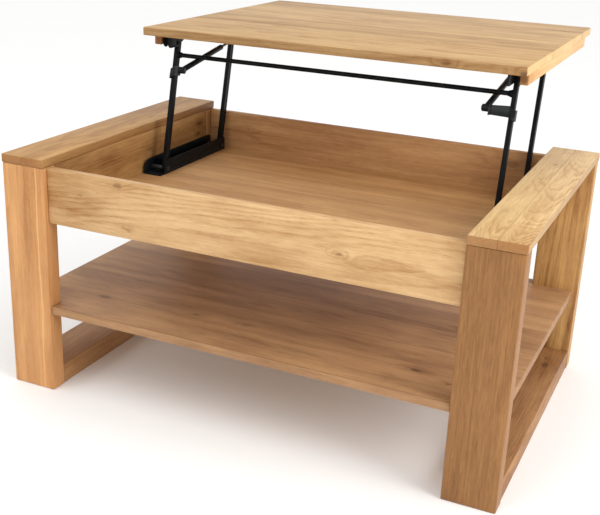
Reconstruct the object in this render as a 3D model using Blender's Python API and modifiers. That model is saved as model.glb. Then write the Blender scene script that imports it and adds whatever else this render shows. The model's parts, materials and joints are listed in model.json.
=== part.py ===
"""Lift top coffee table in solid oak, with a pair of parallel lift arms at each end of its box.

Metres, +Z up. The table is modelled with its top raised. The sitter's side faces -Y, and the top
rises towards +Y. Every position below is measured from the middle of the wooden frame, on the
floor; one empty at the top of the file's tree then moves the whole table, so that the world's
origin lies under the middle of the raised table.
"""

import math

import bmesh
import bpy

# Wooden frame
LENGTH = 1.080
DEPTH = 0.704
HEIGHT = 0.515
CAP_WIDTH = 0.104
CAP_THICKNESS = 0.018
CAP_OVERHANG = 0.001
LEG_THICKNESS = 0.038
RAIL_HEIGHT = 0.044
RAIL_RECESS = 0.0014
APRON_HEIGHT = 0.117
APRON_TOP_GAP = 0.0005
FRONT_APRON_THICKNESS = 0.018
FRONT_APRON_RECESS = 0.010
REAR_APRON_THICKNESS = 0.016
REAR_APRON_RECESS = 0.002
SIDE_PANEL_THICKNESS = 0.018
FLOOR_THICKNESS = 0.018
FLOOR_LIP = 0.0045
SHELF_TOP = 0.195
SHELF_THICKNESS = 0.018
SHELF_FRONT_RECESS = 0.005
SHELF_END_RECESS = 0.012

# Lifting top
TOP_THICKNESS = 0.018
TOP_EDGE_INSET = 0.002
TOP_END_GAP = 0.0065
CLEAT_WIDTH = 0.0175
CLEAT_HEIGHT = 0.0245
CLEAT_BRACKET_GAP = 0.002
CLEAT_EDGE_INSET = 0.042

# Parallel arms
RISE = 0.225
ARM_LEAN = 12.3
ARM_BREADTH = 0.015
ARM_WIDTH = 0.0095
ARM_SIDE_GAP = 0.0008
ARM_SPACING = 0.264
REAR_PIVOT_CLEARANCE = 0.0285
BASE_PIVOT_HEIGHT = 0.012
TOP_PIVOT_DROP = 0.010
PIVOT_RADIUS = 0.004
CROSSBAR_BELOW_PIVOT = 0.042
CROSSBAR_RADIUS = 0.005

# Folded steel channels that carry the pivots
CHANNEL_WALL_GAP = 0.0065
FLANGE_THICKNESS = 0.0025
BASE_CHANNEL_WIDTH = 0.0445
BASE_CHANNEL_HEIGHT = 0.0327
BASE_CHANNEL_NOSE = 0.0325
BASE_CHANNEL_TAIL = 0.0135
BASE_NOSE_ROUND = 0.024
BASE_INNER_NOSE = 0.0125
BASE_CORNER_ROUND = 0.008
BRACKET_WIDTH = 0.021
BRACKET_PLATE = 0.002
BRACKET_NOSE = 0.0575
BRACKET_NOSE_ROUND = 0.010
BRACKET_TAIL = 0.0305
BRACKET_LIP = 0.008
BRACKET_LUG_DROP = 0.0205
PIVOT_EAR = 0.0085
FOLD_STEP = 0.0006
SIGHT_HOLE_BACK = 0.0205
SIGHT_HOLE_DROP = 0.011
SIGHT_HOLE_RADIUS = 0.005

# Gas struts
STRUT_INSET = 0.036
STRUT_LOWER_BELOW_PIVOT = 0.0764
STRUT_LOWER_AHEAD = 0.0452
STRUT_UPPER_BACK = 0.2495
STRUT_UPPER_DROP = 0.0144
CYLINDER_LENGTH = 0.184
CYLINDER_RADIUS = 0.00625
CYLINDER_WALL = 0.0028
CYLINDER_FOOT = 0.024
ROD_RADIUS = 0.003
ROD_INSERTION = 0.018
EYE_RADIUS = 0.0075
EYE_WIDTH = 0.0135
EYE_NECK_RADIUS = 0.004
EYE_NECK_LENGTH = 0.004
STRUT_PIN_RADIUS = 0.003
STRAP_THICKNESS = 0.003
STRAP_HEIGHT = 0.030
STRAP_DROP = 0.005

# Fasteners
PIN_HEAD_RADIUS = 0.0055
PIN_HEAD_HEIGHT = 0.0014
PIN_TIP = 0.0008
SPACER_RADIUS = 0.0055
SCREW_RADIUS = 0.002
SCREW_HEAD_RADIUS = 0.004
SCREW_HEAD_HEIGHT = 0.002
SCREW_DEPTH = 0.012
BASE_SCREW_INSET = 0.053
BRACKET_SCREW_FRONT = 0.085
BRACKET_SCREW_REAR = 0.053

# Fits and finish
FIT = 0.0003
ARRIS = 0.0015
WELD = 0.00001
ROUND_STEPS = 20
CORNER_STEPS = 5

# Worked out from the sizes above
CAP_UNDERSIDE = HEIGHT - CAP_THICKNESS
HALF_LENGTH = LENGTH / 2
HALF_DEPTH = DEPTH / 2
BOX_X = HALF_LENGTH - CAP_WIDTH
LEG_OUTER_X = HALF_LENGTH - CAP_OVERHANG
LEG_FRONT_Y = HALF_DEPTH - CAP_OVERHANG
LEG_BACK_Y = LEG_FRONT_Y - LEG_THICKNESS
APRON_TOP = CAP_UNDERSIDE - APRON_TOP_GAP
APRON_BOTTOM = APRON_TOP - APRON_HEIGHT
FLOOR_BOTTOM = APRON_BOTTOM + FLOOR_LIP
FLOOR_TOP = FLOOR_BOTTOM + FLOOR_THICKNESS
TOP_DEPTH = DEPTH - 2 * TOP_EDGE_INSET
FRONT_INNER_Y = -LEG_FRONT_Y + FRONT_APRON_RECESS + FRONT_APRON_THICKNESS
REAR_INNER_Y = LEG_FRONT_Y - REAR_APRON_RECESS - REAR_APRON_THICKNESS

TOP_UNDERSIDE = HEIGHT - TOP_THICKNESS + RISE
TOP_X = BOX_X - TOP_END_GAP
BASE_PIVOT_Z = FLOOR_TOP + BASE_PIVOT_HEIGHT
TOP_PIVOT_Z = TOP_UNDERSIDE - TOP_PIVOT_DROP
ARM_RAISED = math.radians(90 - ARM_LEAN)
ARM_LENGTH = (TOP_PIVOT_Z - BASE_PIVOT_Z) / math.sin(ARM_RAISED)
ARM_CLOSED = math.pi - math.asin((TOP_PIVOT_Z - RISE - BASE_PIVOT_Z) / ARM_LENGTH)
TOP_SHIFT = ARM_LENGTH * (math.cos(ARM_RAISED) - math.cos(ARM_CLOSED))
REAR_PIVOT_Y = REAR_INNER_Y - REAR_PIVOT_CLEARANCE
FRONT_PIVOT_Y = REAR_PIVOT_Y - ARM_SPACING
TOP_PIVOT_Y = FRONT_PIVOT_Y + ARM_LENGTH * math.cos(ARM_RAISED)
REAR_TOP_PIVOT_Y = TOP_PIVOT_Y + ARM_SPACING
TOP_FRONT_Y = TOP_SHIFT - TOP_DEPTH / 2
TOP_REAR_Y = TOP_SHIFT + TOP_DEPTH / 2
FRAME_Y = -(TOP_REAR_Y - HALF_DEPTH) / 2

CHANNEL_INNER = BOX_X - CHANNEL_WALL_GAP - BASE_CHANNEL_WIDTH
FLANGE_FACE = CHANNEL_INNER + FLANGE_THICKNESS
ARM_INNER = FLANGE_FACE + ARM_SIDE_GAP
ARM_OUTER = ARM_INNER + ARM_WIDTH
BASE_OUTER = CHANNEL_INNER + BASE_CHANNEL_WIDTH
BRACKET_OUTER = CHANNEL_INNER + BRACKET_WIDTH
BRACKET_TOP = TOP_UNDERSIDE - FIT
CLEAT_INNER = BRACKET_OUTER + CLEAT_BRACKET_GAP
CROSSBAR_ALONG_ARM = ARM_LENGTH - CROSSBAR_BELOW_PIVOT
BRACKET_SCREW_X = (FLANGE_FACE + BRACKET_OUTER - FLANGE_THICKNESS) / 2
BASE_SCREW_X = (ARM_OUTER + BASE_OUTER - FLANGE_THICKNESS) / 2
BASE_SCREW_YS = (FRONT_PIVOT_Y + BASE_SCREW_INSET, REAR_PIVOT_Y - BASE_SCREW_INSET)
BRACKET_SCREW_YS = (TOP_PIVOT_Y + BRACKET_SCREW_FRONT, REAR_TOP_PIVOT_Y - BRACKET_SCREW_REAR)

STRUT_X = CHANNEL_INNER - STRUT_INSET
STRUT_LOWER_ALONG_ARM = ARM_LENGTH - STRUT_LOWER_BELOW_PIVOT
LOWER_Y = (
    FRONT_PIVOT_Y
    + STRUT_LOWER_ALONG_ARM * math.cos(ARM_RAISED)
    - STRUT_LOWER_AHEAD * math.sin(ARM_RAISED)
)
LOWER_Z = (
    BASE_PIVOT_Z
    + STRUT_LOWER_ALONG_ARM * math.sin(ARM_RAISED)
    + STRUT_LOWER_AHEAD * math.cos(ARM_RAISED)
)
UPPER_Y = TOP_PIVOT_Y + STRUT_UPPER_BACK
UPPER_Z = TOP_PIVOT_Z - STRUT_UPPER_DROP
STRUT_LENGTH = math.hypot(UPPER_Y - LOWER_Y, UPPER_Z - LOWER_Z)
STRUT_ANGLE = math.atan2(UPPER_Z - LOWER_Z, UPPER_Y - LOWER_Y)

SIDES = {"left": -1, "right": 1}


def clear_scene():
    for thing in list(bpy.data.objects):
        bpy.data.objects.remove(thing, do_unlink=True)


def new_collection(name):
    group = bpy.data.collections.new(name)
    bpy.context.scene.collection.children.link(group)
    return group


def principled(name, colour, roughness, metallic=0.0):
    finish = bpy.data.materials.new(name)
    finish.use_nodes = True
    shader = finish.node_tree.nodes["Principled BSDF"]
    shader.inputs["Base Color"].default_value = (*colour, 1)
    shader.inputs["Roughness"].default_value = roughness
    shader.inputs["Metallic"].default_value = metallic
    finish.diffuse_color = (*colour, 1)
    return finish


def pivot(name, y, z, parent=None):
    """An empty on a joint's axis, placed like everything else from the middle of the frame."""
    empty = bpy.data.objects.new(name, None)
    table.objects.link(empty)
    empty.empty_display_size = 0.03
    empty.location = (0, y, z)
    empty.parent = parent
    return empty


def add(name, data, finish, carrier, place):
    """A new object of the table, carried by an empty, at a place measured from the frame."""
    thing = bpy.data.objects.new(name, data)
    table.objects.link(thing)
    thing.parent = carrier
    offset = (0, 0, 0) if carrier is root else carrier.location
    thing.location = [a - b for a, b in zip(place, offset)]
    data.materials.append(finish)
    return thing


def helper(thing):
    """Take a cutter or a joined piece out of the render and out of the table's collection."""
    table.objects.unlink(thing)
    cutters.objects.link(thing)
    thing.hide_render = True
    thing.display_type = "WIRE"
    return thing


def combine(target, other, operation):
    modifier = target.modifiers.new(other.name, "BOOLEAN")
    modifier.operation = operation
    modifier.object = helper(other)


def box_mesh(name, size):
    mesh = bpy.data.meshes.new(name)
    shape = bmesh.new()
    bmesh.ops.create_cube(shape, size=1)
    bmesh.ops.scale(shape, vec=size, verts=shape.verts)
    shape.to_mesh(mesh)
    shape.free()
    return mesh


def board(name, low, high, finish, carrier, arris=ARRIS):
    """A board from one corner to the opposite one, with its edges broken by a small bevel."""
    size = [abs(b - a) for a, b in zip(low, high)]
    place = [(a + b) / 2 for a, b in zip(low, high)]
    thing = add(name, box_mesh(name, size), finish, carrier, place)
    if arris:
        bevel = thing.modifiers.new("arris", "BEVEL")
        bevel.width = arris
        bevel.segments = 1
    return thing


def arc(y, z, radius, start, end, steps=CORNER_STEPS):
    """Points on an arc from one angle to another, both in degrees."""
    turns = [math.radians(start + (end - start) * i / steps) for i in range(steps + 1)]
    return [(y + radius * math.cos(t), z + radius * math.sin(t)) for t in turns]


def circle(y, z, radius):
    return arc(y, z, radius, 0, 360, ROUND_STEPS)[:-1]


def bar_outline(length, angle, breadth):
    """A flat bar with round ends, from the origin along an angle."""
    turn = math.degrees(angle)
    far_y = length * math.cos(angle)
    far_z = length * math.sin(angle)
    near_end = arc(0, 0, breadth / 2, turn + 90, turn + 270, 2 * CORNER_STEPS)
    return near_end + arc(far_y, far_z, breadth / 2, turn - 90, turn + 90, 2 * CORNER_STEPS)


def curve_to_mesh(thing):
    """Swap a filled curve for its welded mesh, so that it can be cut and joined."""
    bpy.context.view_layer.update()
    graph = bpy.context.evaluated_depsgraph_get()
    mesh = bpy.data.meshes.new_from_object(thing.evaluated_get(graph))
    shape = bmesh.new()
    shape.from_mesh(mesh)
    bmesh.ops.remove_doubles(shape, verts=shape.verts, dist=WELD)
    shape.to_mesh(mesh)
    shape.free()
    solid = bpy.data.objects.new(thing.name, mesh)
    solid.parent = thing.parent
    solid.location = thing.location
    solid.rotation_euler = thing.rotation_euler
    name = thing.name
    bpy.data.objects.remove(thing, do_unlink=True)
    table.objects.link(solid)
    solid.name = name
    return solid


def extruded(name, loops, thickness, finish, carrier, place, rotation):
    """A flat outline with its holes, thickened evenly about its own plane."""
    guide = bpy.data.curves.new(name, "CURVE")
    guide.dimensions = "2D"
    guide.fill_mode = "BOTH"
    guide.extrude = thickness / 2
    for loop in loops:
        spline = guide.splines.new("POLY")
        spline.points.add(len(loop) - 1)
        for point, (u, v) in zip(spline.points, loop):
            point.co = (u, v, 0, 1)
        spline.use_cyclic_u = True
    thing = add(name, guide, finish, carrier, place)
    thing.rotation_euler = rotation
    return curve_to_mesh(thing)


def plate(name, loops, inner, outer, side, finish, carrier, y=0, z=0):
    """A plate standing along Y, between two distances from the table's middle plane."""
    place = (side * (inner + outer) / 2, y, z)
    upright = (math.pi / 2, 0, math.pi / 2)
    return extruded(name, loops, outer - inner, finish, carrier, place, upright)


def turned(name, profile, finish, carrier, place, rotation):
    """A turned piece from (radius, height) pairs that run down its outer side."""
    mesh = bpy.data.meshes.new(name)
    shape = bmesh.new()
    corners = [shape.verts.new((radius, 0, height)) for radius, height in profile]
    for first, second in zip(corners, corners[1:]):
        shape.edges.new((first, second))
    shape.to_mesh(mesh)
    shape.free()
    thing = add(name, mesh, finish, carrier, place)
    thing.rotation_euler = rotation
    screw = thing.modifiers.new("turn", "SCREW")
    screw.steps = ROUND_STEPS
    screw.render_steps = ROUND_STEPS
    screw.use_merge_vertices = True
    screw.merge_threshold = WELD
    return thing


def across(side):
    """The rotation that lays a turned piece's axis along X, pointing out of the table."""
    return (0, side * math.pi / 2, 0)


def cross_drill(target, name, radius, x, y, z, length, carrier):
    """Drill along X through a piece, centred at a place."""
    half = length / 2
    profile = [(0, half), (radius, half), (radius, -half), (0, -half)]
    drill = turned(name, profile, black_steel, carrier, (x, y, z), across(1))
    combine(target, drill, "DIFFERENCE")


def down_drill(target, name, radius, x, y, low, high, carrier):
    """Drill along Z through a piece, between two heights."""
    half = (high - low) / 2
    profile = [(0, half), (radius, half), (radius, -half), (0, -half)]
    drill = turned(name, profile, black_steel, carrier, (x, y, low + half), (0, 0, 0))
    combine(target, drill, "DIFFERENCE")


def end_frames():
    """Two legs, a cap board and a floor rail at each end of the table."""
    for side_name, side in SIDES.items():
        for row, face in (("front", -1), ("rear", 1)):
            board(
                f"leg_{row}_{side_name}",
                (side * BOX_X, face * LEG_FRONT_Y, 0),
                (side * LEG_OUTER_X, face * LEG_BACK_Y, CAP_UNDERSIDE - FIT),
                oak_leg,
                root,
            )
        board(
            f"cap_board_{side_name}",
            (side * BOX_X, -HALF_DEPTH, CAP_UNDERSIDE),
            (side * HALF_LENGTH, HALF_DEPTH, HEIGHT),
            oak,
            root,
        )
        board(
            f"floor_rail_{side_name}",
            (side * (BOX_X + RAIL_RECESS), -LEG_BACK_Y + FIT, 0),
            (side * (LEG_OUTER_X - RAIL_RECESS), LEG_BACK_Y - FIT, RAIL_HEIGHT),
            oak_leg,
            root,
        )


def box_sides():
    """The aprons between the legs, and the end panels under the cap boards."""
    reach = BOX_X - FIT
    front_face = -LEG_FRONT_Y + FRONT_APRON_RECESS
    rear_face = LEG_FRONT_Y - REAR_APRON_RECESS
    board(
        "front_apron",
        (-reach, front_face, APRON_BOTTOM),
        (reach, FRONT_INNER_Y, APRON_TOP),
        oak,
        root,
    )
    board(
        "rear_apron",
        (-reach, REAR_INNER_Y, APRON_BOTTOM),
        (reach, rear_face, APRON_TOP),
        oak,
        root,
    )
    for side_name, side in SIDES.items():
        board(
            f"side_panel_{side_name}",
            (side * BOX_X, -LEG_BACK_Y + FIT, APRON_BOTTOM),
            (side * (BOX_X + SIDE_PANEL_THICKNESS), LEG_BACK_Y - FIT, CAP_UNDERSIDE - FIT),
            oak,
            root,
        )


def box_floor():
    reach = BOX_X - FIT
    floor = board(
        "box_floor",
        (-reach, FRONT_INNER_Y + FIT, FLOOR_BOTTOM),
        (reach, REAR_INNER_Y - FIT, FLOOR_TOP),
        oak_inside,
        root,
        arris=0,
    )
    for side_name, side in SIDES.items():
        for number, y in enumerate(BASE_SCREW_YS, 1):
            down_drill(
                floor,
                f"floor_drill_{side_name}_{number}",
                SCREW_RADIUS + FIT,
                side * BASE_SCREW_X,
                y,
                FLOOR_TOP - SCREW_DEPTH - FIT,
                FLOOR_TOP + FIT,
                root,
            )


def lower_shelf():
    """A shelf between the legs, whose ends run on into the end frames."""
    reach = BOX_X - FIT
    end = LEG_OUTER_X - SHELF_END_RECESS
    front = LEG_FRONT_Y - SHELF_FRONT_RECESS
    notch = LEG_BACK_Y - FIT
    quarter = [(reach, front), (reach, notch), (end, notch)]
    outline = [(x, -y) for x, y in quarter]
    outline += [(x, y) for x, y in reversed(quarter)]
    outline += [(-x, y) for x, y in quarter]
    outline += [(-x, -y) for x, y in reversed(quarter)]
    middle = (0, 0, SHELF_TOP - SHELF_THICKNESS / 2)
    extruded("lower_shelf", [outline], SHELF_THICKNESS, oak_inside, root, middle, (0, 0, 0))


def lifting_top():
    """The top board and the two battens screwed across its ends."""
    top = board(
        "lift_top",
        (-TOP_X, TOP_FRONT_Y, TOP_UNDERSIDE),
        (TOP_X, TOP_REAR_Y, TOP_UNDERSIDE + TOP_THICKNESS),
        oak,
        top_pivot,
    )
    for side_name, side in SIDES.items():
        for number, y in enumerate(BRACKET_SCREW_YS, 1):
            down_drill(
                top,
                f"top_drill_{side_name}_{number}",
                SCREW_RADIUS + FIT,
                side * BRACKET_SCREW_X,
                y,
                TOP_UNDERSIDE - FIT,
                TOP_UNDERSIDE + SCREW_DEPTH + FIT,
                top_pivot,
            )
        board(
            f"top_cleat_{side_name}",
            (
                side * CLEAT_INNER,
                TOP_FRONT_Y + CLEAT_EDGE_INSET,
                TOP_UNDERSIDE - CLEAT_HEIGHT,
            ),
            (
                side * (CLEAT_INNER + CLEAT_WIDTH),
                TOP_REAR_Y - CLEAT_EDGE_INSET,
                TOP_UNDERSIDE - FIT,
            ),
            oak_inside,
            top_pivot,
        )


def base_channel(side_name, side):
    """A channel screwed to the box floor, open at the front, where the arms lie down."""
    bottom = FLOOR_TOP + FIT
    height = BASE_CHANNEL_HEIGHT
    nose = -BASE_CHANNEL_NOSE
    tail = ARM_SPACING + BASE_CHANNEL_TAIL
    drop = bottom - BASE_PIVOT_Z
    top = drop + height
    round_tail = arc(tail - BASE_CORNER_ROUND, top - BASE_CORNER_ROUND, BASE_CORNER_ROUND, 0, 90)
    holes = [
        circle(0, 0, PIVOT_RADIUS + FIT),
        circle(ARM_SPACING, 0, PIVOT_RADIUS + FIT),
    ]
    outer_nose = arc(nose + BASE_NOSE_ROUND, top - BASE_NOSE_ROUND, BASE_NOSE_ROUND, 90, 180)
    inner_nose = arc(
        -BASE_INNER_NOSE + BASE_CORNER_ROUND, top - BASE_CORNER_ROUND, BASE_CORNER_ROUND, 90, 180
    )
    outer_loop = [(nose, drop), (tail, drop)] + round_tail + outer_nose
    inner_loop = [(-BASE_INNER_NOSE, drop), (tail, drop)] + round_tail + inner_nose
    channel = plate(
        f"base_channel_{side_name}",
        [outer_loop] + holes,
        BASE_OUTER - FLANGE_THICKNESS,
        BASE_OUTER,
        side,
        black_steel,
        root,
        FRONT_PIVOT_Y,
        BASE_PIVOT_Z,
    )
    inner_flange = plate(
        f"base_inner_flange_{side_name}",
        [inner_loop] + holes,
        CHANNEL_INNER,
        FLANGE_FACE,
        side,
        black_steel,
        root,
        FRONT_PIVOT_Y,
        BASE_PIVOT_Z,
    )
    sole = board(
        f"base_sole_{side_name}",
        (
            side * (CHANNEL_INNER + FOLD_STEP),
            FRONT_PIVOT_Y + nose + FOLD_STEP,
            bottom + FOLD_STEP / 2,
        ),
        (
            side * (BASE_OUTER - FOLD_STEP),
            FRONT_PIVOT_Y + tail - FOLD_STEP,
            bottom + FLANGE_THICKNESS,
        ),
        black_steel,
        root,
        arris=0,
    )
    combine(channel, sole, "UNION")
    combine(channel, inner_flange, "UNION")
    for number, y in enumerate(BASE_SCREW_YS, 1):
        down_drill(
            channel,
            f"sole_drill_{side_name}_{number}",
            SCREW_RADIUS + FIT,
            side * BASE_SCREW_X,
            y,
            bottom - FIT,
            bottom + 2 * FLANGE_THICKNESS,
            root,
        )


def top_bracket(side_name, side):
    """An upside-down channel under the top, with a lug at each pivot and a shallow lip between."""
    top = BRACKET_TOP - TOP_PIVOT_Z
    lip = top - BRACKET_LIP
    tail = ARM_SPACING + BRACKET_TAIL
    lug = -BRACKET_LUG_DROP
    nose = -BRACKET_NOSE
    ear = PIVOT_EAR
    strut_y = STRUT_UPPER_BACK
    strut_z = -STRUT_UPPER_DROP
    round_nose = arc(
        nose + BRACKET_NOSE_ROUND, lug + BRACKET_NOSE_ROUND, BRACKET_NOSE_ROUND, 180, 270
    )
    front_lug = round_nose + [(-ear, lug)] + arc(0, 0, PIVOT_EAR + FLANGE_THICKNESS, 270, 360)
    rear_lug = arc(strut_y, strut_z, EYE_RADIUS, 180, 270) + arc(
        ARM_SPACING, 0, PIVOT_EAR + FLANGE_THICKNESS, 270, 360
    )
    inner_loop = (
        [(nose, top)]
        + front_lug
        + [(2 * ear, lip), (strut_y - 2 * ear, lip)]
        + rear_lug
        + [(ARM_SPACING + 2 * ear, lip), (tail, lip), (tail, top)]
    )
    tab_round = BRACKET_NOSE_ROUND
    tab = arc(nose + 2 * tab_round, lug + tab_round, tab_round, 180, 360)
    front_ear = arc(0, 0, ear, 240, 360)
    rear_ear = arc(ARM_SPACING, 0, ear, 180, 360)
    outer_loop = (
        [(nose + tab_round, top)]
        + tab
        + front_ear
        + [(2 * ear, lip), (ARM_SPACING - 2 * ear, lip)]
        + rear_ear
        + [(ARM_SPACING + 2 * ear, lip), (tail, lip), (tail, top)]
    )
    pivots = [
        circle(0, 0, PIVOT_RADIUS + FIT),
        circle(ARM_SPACING, 0, PIVOT_RADIUS + FIT),
    ]
    sight = circle(-SIGHT_HOLE_BACK, -SIGHT_HOLE_DROP, SIGHT_HOLE_RADIUS)
    stud = circle(strut_y, strut_z, STRUT_PIN_RADIUS + FIT)
    bracket = plate(
        f"top_bracket_{side_name}",
        [inner_loop] + pivots + [sight, stud],
        CHANNEL_INNER,
        FLANGE_FACE,
        side,
        black_steel,
        top_pivot,
        TOP_PIVOT_Y,
        TOP_PIVOT_Z,
    )
    outer_flange = plate(
        f"bracket_outer_flange_{side_name}",
        [outer_loop] + pivots,
        BRACKET_OUTER - FLANGE_THICKNESS,
        BRACKET_OUTER,
        side,
        black_steel,
        top_pivot,
        TOP_PIVOT_Y,
        TOP_PIVOT_Z,
    )
    web = board(
        f"bracket_web_{side_name}",
        (
            side * (CHANNEL_INNER + FOLD_STEP),
            TOP_PIVOT_Y + nose + FOLD_STEP,
            BRACKET_TOP - BRACKET_PLATE,
        ),
        (
            side * (BRACKET_OUTER - FOLD_STEP),
            TOP_PIVOT_Y + tail - FOLD_STEP,
            BRACKET_TOP - FOLD_STEP / 2,
        ),
        black_steel,
        top_pivot,
        arris=0,
    )
    combine(bracket, web, "UNION")
    combine(bracket, outer_flange, "UNION")
    for number, y in enumerate(BRACKET_SCREW_YS, 1):
        down_drill(
            bracket,
            f"web_drill_{side_name}_{number}",
            SCREW_RADIUS + FIT,
            side * BRACKET_SCREW_X,
            y,
            BRACKET_TOP - 2 * BRACKET_PLATE,
            BRACKET_TOP + FIT,
            top_pivot,
        )


def lift_arm(name, side, y, carrier):
    """A flat bar drilled at both ends for its pivots."""
    outline = bar_outline(ARM_LENGTH, ARM_RAISED, ARM_BREADTH)
    far_y = ARM_LENGTH * math.cos(ARM_RAISED)
    far_z = ARM_LENGTH * math.sin(ARM_RAISED)
    hole = PIVOT_RADIUS + FIT
    loops = [outline, circle(0, 0, hole), circle(far_y, far_z, hole)]
    plate(name, loops, ARM_INNER, ARM_OUTER, side, black_steel, carrier, y, BASE_PIVOT_Z)


def crossbar():
    """The round bar that ties the two front arms together."""
    half = ARM_INNER - FIT
    y = FRONT_PIVOT_Y + CROSSBAR_ALONG_ARM * math.cos(ARM_RAISED)
    z = BASE_PIVOT_Z + CROSSBAR_ALONG_ARM * math.sin(ARM_RAISED)
    profile = [(0, half), (CROSSBAR_RADIUS, half), (CROSSBAR_RADIUS, -half), (0, -half)]
    turned("crossbar", profile, black_steel, front_arm_pivot, (0, y, z), across(1))


def strip_outline(path, thickness):
    """The outline of a bent strip: its centre line pushed half a thickness to each side."""
    edges = ([], [])
    for index, (u, v) in enumerate(path):
        before = path[max(index - 1, 0)]
        after = path[min(index + 1, len(path) - 1)]
        first = math.atan2(v - before[1], u - before[0]) if index else None
        last = math.atan2(after[1] - v, after[0] - u) if index < len(path) - 1 else None
        first = last if first is None else first
        last = first if last is None else last
        turn = (first + last) / 2
        reach = thickness / 2 / math.cos((last - first) / 2)
        for edge, sign in zip(edges, (1, -1)):
            edge.append((u - sign * reach * math.sin(turn), v + sign * reach * math.cos(turn)))
    return edges[0] + edges[1][::-1]


def strut_strap(side_name, side):
    """A bent strap round the front arm that holds the lower end of the gas strut."""
    half = STRAP_THICKNESS / 2
    cheek_x = ARM_OUTER + FIT + half
    front = -(ARM_BREADTH / 2 + FIT + half)
    ear_x = STRUT_X + EYE_WIDTH / 2 + FIT + half
    eye = -STRUT_LOWER_AHEAD
    path = [
        (cheek_x, ARM_BREADTH / 2),
        (cheek_x, front),
        (ARM_INNER - FIT, front),
        (ear_x, eye + EYE_RADIUS),
        (ear_x, eye - EYE_RADIUS),
    ]
    tilt = ARM_RAISED - math.pi / 2
    middle = STRUT_LOWER_ALONG_ARM - STRAP_DROP
    y = FRONT_PIVOT_Y + middle * math.cos(ARM_RAISED)
    z = BASE_PIVOT_Z + middle * math.sin(ARM_RAISED)
    outline = [(side * x, back) for x, back in strip_outline(path, STRAP_THICKNESS)]
    strap = extruded(
        f"strut_strap_{side_name}",
        [outline],
        STRAP_HEIGHT,
        black_steel,
        front_arm_pivot,
        (0, y, z),
        (tilt, 0, 0),
    )
    cross_drill(
        strap,
        f"strap_drill_{side_name}",
        STRUT_PIN_RADIUS + FIT,
        side * ear_x,
        LOWER_Y,
        LOWER_Z,
        4 * STRAP_THICKNESS,
        front_arm_pivot,
    )


def gas_strut(side_name, side):
    """A cylinder that swings on the strap, and the rod that slides in it."""
    x = side * STRUT_X
    lower = (x, LOWER_Y, LOWER_Z)
    lean = (STRUT_ANGLE - math.pi / 2, 0, 0)
    bore = CYLINDER_RADIUS - CYLINDER_WALL
    cylinder = turned(
        f"strut_cylinder_{side_name}",
        [
            (0, CYLINDER_FOOT),
            (bore, CYLINDER_FOOT),
            (bore, CYLINDER_LENGTH),
            (CYLINDER_RADIUS, CYLINDER_LENGTH),
            (CYLINDER_RADIUS, EYE_RADIUS + EYE_NECK_LENGTH),
            (EYE_NECK_RADIUS, EYE_RADIUS + EYE_NECK_LENGTH),
            (EYE_NECK_RADIUS, 0),
            (0, 0),
        ],
        black_steel,
        strut_pivots[side_name],
        lower,
        lean,
    )
    half = EYE_WIDTH / 2
    disc = [(0, half), (EYE_RADIUS, half), (EYE_RADIUS, -half), (0, -half)]
    eye = turned(
        f"cylinder_eye_{side_name}",
        disc,
        black_steel,
        strut_pivots[side_name],
        lower,
        across(1),
    )
    combine(cylinder, eye, "UNION")
    cross_drill(
        cylinder,
        f"eye_drill_{side_name}",
        STRUT_PIN_RADIUS + FIT,
        x,
        LOWER_Y,
        LOWER_Z,
        2 * EYE_WIDTH,
        strut_pivots[side_name],
    )
    inside = CYLINDER_LENGTH - ROD_INSERTION
    rod = turned(
        f"strut_rod_{side_name}",
        [(0, STRUT_LENGTH), (ROD_RADIUS, STRUT_LENGTH), (ROD_RADIUS, inside), (0, inside)],
        bright_steel,
        strut_pivots[side_name],
        lower,
        lean,
    )
    end = turned(
        f"rod_end_{side_name}",
        disc,
        black_steel,
        strut_pivots[side_name],
        (x, UPPER_Y, UPPER_Z),
        across(1),
    )
    combine(rod, end, "UNION")


def pivot_pin(name, side, y, z, channel_outer, carrier):
    """A shouldered rivet: head, shank through the arm, spacer, and shank through the far flange."""
    head = CHANNEL_INNER - FIT
    spacer_start = ARM_OUTER + FIT
    spacer_end = channel_outer - FLANGE_THICKNESS - FIT
    tip = channel_outer + PIN_TIP
    profile = [
        (0, tip),
        (PIVOT_RADIUS, tip),
        (PIVOT_RADIUS, spacer_end),
        (SPACER_RADIUS, spacer_end),
        (SPACER_RADIUS, spacer_start),
        (PIVOT_RADIUS, spacer_start),
        (PIVOT_RADIUS, head),
        (PIN_HEAD_RADIUS, head),
        (PIN_HEAD_RADIUS, head - PIN_HEAD_HEIGHT),
        (0, head - PIN_HEAD_HEIGHT),
    ]
    start = [(radius, height - CHANNEL_INNER) for radius, height in profile]
    place = (side * CHANNEL_INNER, y, z)
    turned(name, start, zinc_steel, carrier, place, across(side))


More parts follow.
